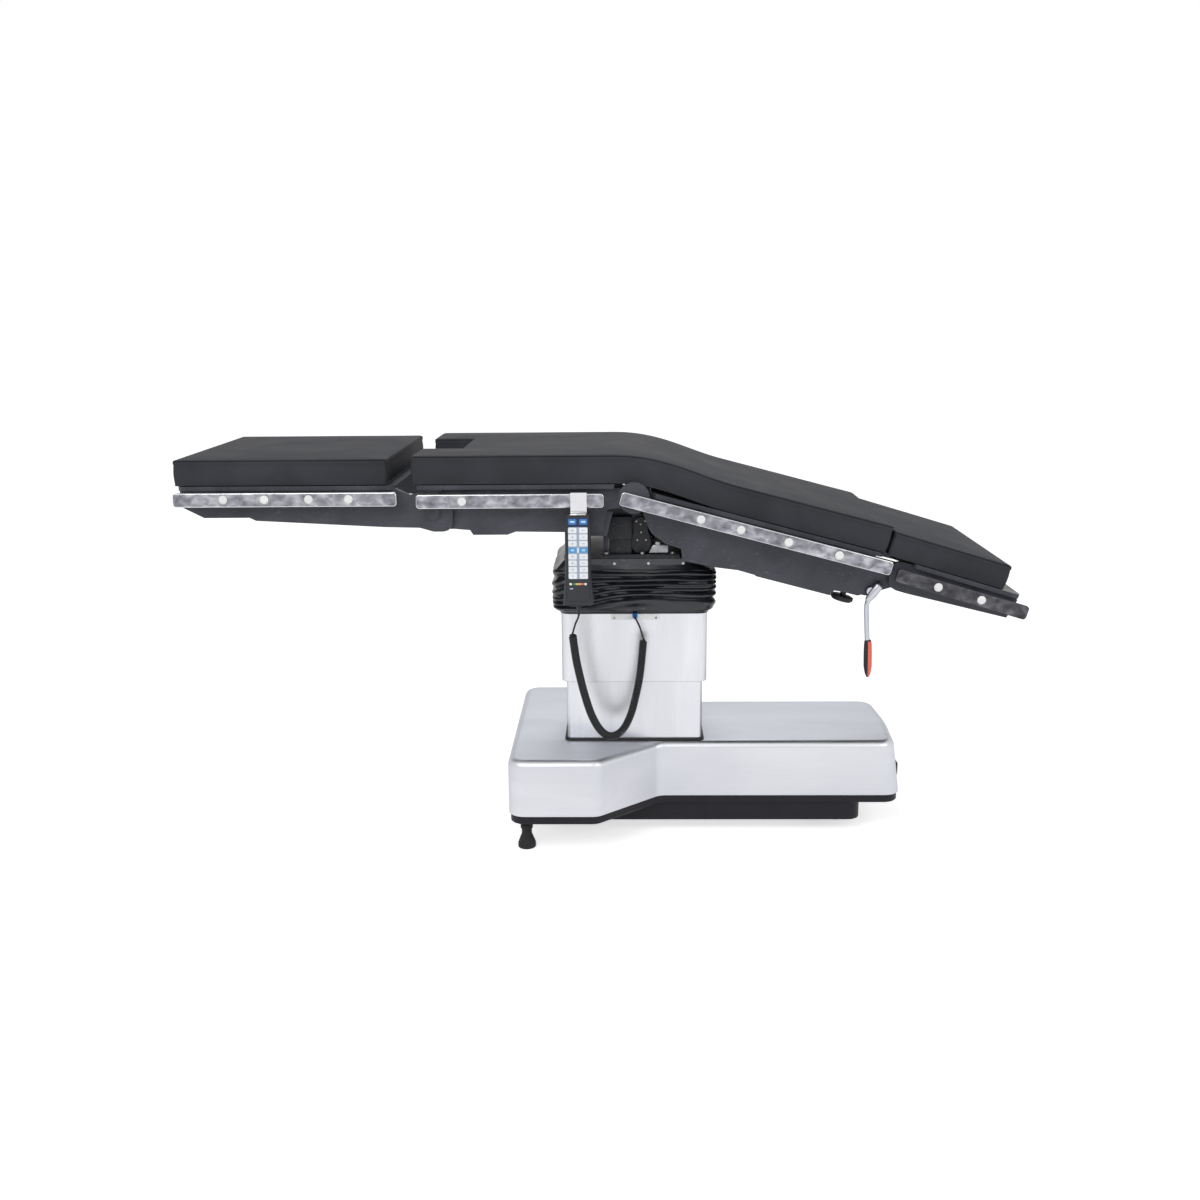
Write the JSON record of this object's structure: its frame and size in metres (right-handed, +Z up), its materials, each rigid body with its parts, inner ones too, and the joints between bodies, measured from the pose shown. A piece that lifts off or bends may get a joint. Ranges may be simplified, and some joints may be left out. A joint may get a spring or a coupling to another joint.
{
  "type": "electric operating table",
  "caption": "Operating table with a cushioned leg, seat, back and head section on a tilting joint, a telescoping column and a floor-locking base, with a corded hand control.",
  "frame": {"origin": "middle of the table's footprint box, on the floor", "axes": "+Z up, +X from the leg end towards the head end, -Y towards the side that carries the hand control"},
  "size_m": [1.9215, 0.6502, 0.9445],
  "materials": {
    "brushed_steel": "satin",
    "polished_steel": "satin",
    "plated_steel": "satin",
    "cast_aluminium": "satin",
    "frame_paint": "satin",
    "frame_aluminium": "satin",
    "dark_plastic": "matte",
    "black_plastic": "matte",
    "white_plastic": "gloss",
    "blue_plastic": "gloss",
    "grip_plastic": "satin",
    "black_rubber": "matte",
    "boot_rubber": "satin",
    "pad_vinyl": "satin"
  },
  "bodies": {
    "base": {"base_cover": "brushed_steel", "base_skirt": "black_plastic", "lower_housing": "black_plastic", "base_chassis": "plated_steel", "battery_pack": "dark_plastic", "power_unit": "cast_aluminium", "mains_inlet": "black_plastic", "lower_sleeve": "brushed_steel", "column_gasket": "black_rubber", "lift_cylinder": "plated_steel"},
    "foot_leg_near": {"brake_foot_leg_near": "black_rubber"},
    "foot_leg_far": {"brake_foot_leg_far": "black_rubber"},
    "foot_head_near": {"brake_foot_head_near": "black_rubber"},
    "foot_head_far": {"brake_foot_head_far": "black_rubber"},
    "fork_leg_near": {"caster_fork_leg_near": "plated_steel"},
    "fork_leg_far": {"caster_fork_leg_far": "plated_steel"},
    "fork_head_near": {"caster_fork_head_near": "plated_steel"},
    "fork_head_far": {"caster_fork_head_far": "plated_steel"},
    "wheel_leg_near": {"caster_wheel_leg_near": "black_rubber"},
    "wheel_leg_far": {"caster_wheel_leg_far": "black_rubber"},
    "wheel_head_near": {"caster_wheel_head_near": "black_rubber"},
    "wheel_head_far": {"caster_wheel_head_far": "black_rubber"},
    "middle_stage": {"middle_sleeve": "brushed_steel"},
    "column_top": {"upper_sleeve": "brushed_steel", "column_head": "plated_steel", "socket_plate": "white_plastic", "handset_plug": "blue_plastic", "bellows": "boot_rubber", "cord_plug": "boot_rubber", "cord_curl": "boot_rubber"},
    "cradle": {"tilt_cradle": "plated_steel", "bellows_band": "plated_steel", "pitch_shaft": "plated_steel", "tilt_motor_cover": "dark_plastic"},
    "seat": {"seat_frame": "frame_paint", "seat_belly_cover": "dark_plastic", "seat_rail_near": "polished_steel", "seat_rail_far": "polished_steel", "seat_pad": "pad_vinyl", "pad_bend": "pad_vinyl", "handset": "dark_plastic", "handset_hook": "polished_steel", "cord_handset": "boot_rubber"},
    "leg": {"leg_frame": "frame_aluminium", "leg_rail_near": "polished_steel", "leg_rail_far": "polished_steel", "leg_pad": "pad_vinyl"},
    "back": {"back_frame": "frame_aluminium", "back_cover": "dark_plastic", "back_rail_near": "polished_steel", "back_rail_far": "polished_steel", "back_pad": "pad_vinyl"},
    "knob": {"back_knob": "black_plastic"},
    "lever": {"release_lever": "polished_steel", "lever_grip": "grip_plastic"},
    "head": {"head_frame": "frame_aluminium", "head_rail_near": "polished_steel", "head_rail_far": "polished_steel", "head_pad": "pad_vinyl", "head_pad_edge": "pad_vinyl"}
  },
  "joints": [
    {"name": "lift", "type": "slide", "parent": "base", "child": "column_top", "axis": [0, 0, 1], "range_m": [-0.11, 0.17]},
    {"name": "middle_sleeve", "type": "slide", "parent": "base", "child": "middle_stage", "axis": [0, 0, 1], "range_m": [-0.0418, 0.0646]},
    {"name": "lateral_tilt", "type": "hinge", "parent": "column_top", "child": "cradle", "pos_m": [0.07496, 0.0146, 0.63], "axis": [1, 0, 0], "range_deg": [-18, 18], "deforming": ["bellows", "cord_curl"]},
    {"name": "trendelenburg", "type": "hinge", "parent": "cradle", "child": "seat", "pos_m": [0.09296, 0.0146, 0.725], "axis": [0, -1, 0], "range_deg": [-25, 25], "deforming": ["cord_handset"]},
    {"name": "leg_hinge", "type": "hinge", "parent": "seat", "child": "leg", "pos_m": [-0.37804, 0.0146, 0.814], "axis": [0, 1, 0], "range_deg": [-90, 15]},
    {"name": "back_hinge", "type": "hinge", "parent": "seat", "child": "back", "pos_m": [0.07496, 0.0146, 0.847], "axis": [0, 1, 0], "range_deg": [-90, 20], "deforming": ["pad_bend"]},
    {"name": "head_hinge", "type": "hinge", "parent": "back", "child": "head", "pos_m": [0.68787, 0.0146, 0.65585], "axis": [0, 1, 0], "range_deg": [-40, 55], "deforming": ["head_pad_edge"]},
    {"name": "back_knob_turn", "type": "hinge", "parent": "back", "child": "knob", "pos_m": [0.56386, -0.1804, 0.6161], "axis": [0.2588, 0, 0.9659], "continuous": true},
    {"name": "release_lever_pull", "type": "hinge", "parent": "back", "child": "lever", "pos_m": [0.61386, -0.2414, 0.62496], "axis": [0, 1, 0], "range_deg": [0, 35], "stiffness_Nm_per_rad": 1.5, "springref_deg": -20.05},
    {"name": "floor_lock_leg_near", "type": "slide", "parent": "base", "child": "foot_leg_near", "axis": [0, 0, 1], "range_m": [0, 0.02]},
    {"name": "floor_lock_leg_far", "type": "slide", "parent": "base", "child": "foot_leg_far", "axis": [0, 0, 1], "range_m": [0, 0.02]},
    {"name": "floor_lock_head_near", "type": "slide", "parent": "base", "child": "foot_head_near", "axis": [0, 0, 1], "range_m": [0, 0.02]},
    {"name": "floor_lock_head_far", "type": "slide", "parent": "base", "child": "foot_head_far", "axis": [0, 0, 1], "range_m": [0, 0.02]},
    {"name": "swivel_leg_near", "type": "hinge", "parent": "base", "child": "fork_leg_near", "pos_m": [-0.05504, -0.0704, 0.09], "axis": [0, 0, 1], "continuous": true},
    {"name": "swivel_leg_far", "type": "hinge", "parent": "base", "child": "fork_leg_far", "pos_m": [-0.05504, 0.0996, 0.09], "axis": [0, 0, 1], "continuous": true},
    {"name": "swivel_head_near", "type": "hinge", "parent": "base", "child": "fork_head_near", "pos_m": [0.48996, -0.0704, 0.09], "axis": [0, 0, 1], "continuous": true},
    {"name": "swivel_head_far", "type": "hinge", "parent": "base", "child": "fork_head_far", "pos_m": [0.48996, 0.0996, 0.09], "axis": [0, 0, 1], "continuous": true},
    {"name": "roll_leg_near", "type": "hinge", "parent": "fork_leg_near", "child": "wheel_leg_near", "pos_m": [-0.03304, -0.0704, 0.038], "axis": [0, 1, 0], "continuous": true},
    {"name": "roll_leg_far", "type": "hinge", "parent": "fork_leg_far", "child": "wheel_leg_far", "pos_m": [-0.03304, 0.0996, 0.038], "axis": [0, 1, 0], "continuous": true},
    {"name": "roll_head_near", "type": "hinge", "parent": "fork_head_near", "child": "wheel_head_near", "pos_m": [0.51196, -0.0704, 0.038], "axis": [0, 1, 0], "continuous": true},
    {"name": "roll_head_far", "type": "hinge", "parent": "fork_head_far", "child": "wheel_head_far", "pos_m": [0.51196, 0.0996, 0.038], "axis": [0, 1, 0], "continuous": true}
  ],
  "couplings": [
    {"joint": "middle_sleeve", "follows": "lift", "ratio": 0.38},
    {"joint": "floor_lock_leg_far", "follows": "floor_lock_leg_near", "ratio": 1},
    {"joint": "floor_lock_head_near", "follows": "floor_lock_leg_near", "ratio": 1},
    {"joint": "floor_lock_head_far", "follows": "floor_lock_leg_near", "ratio": 1}
  ]
}
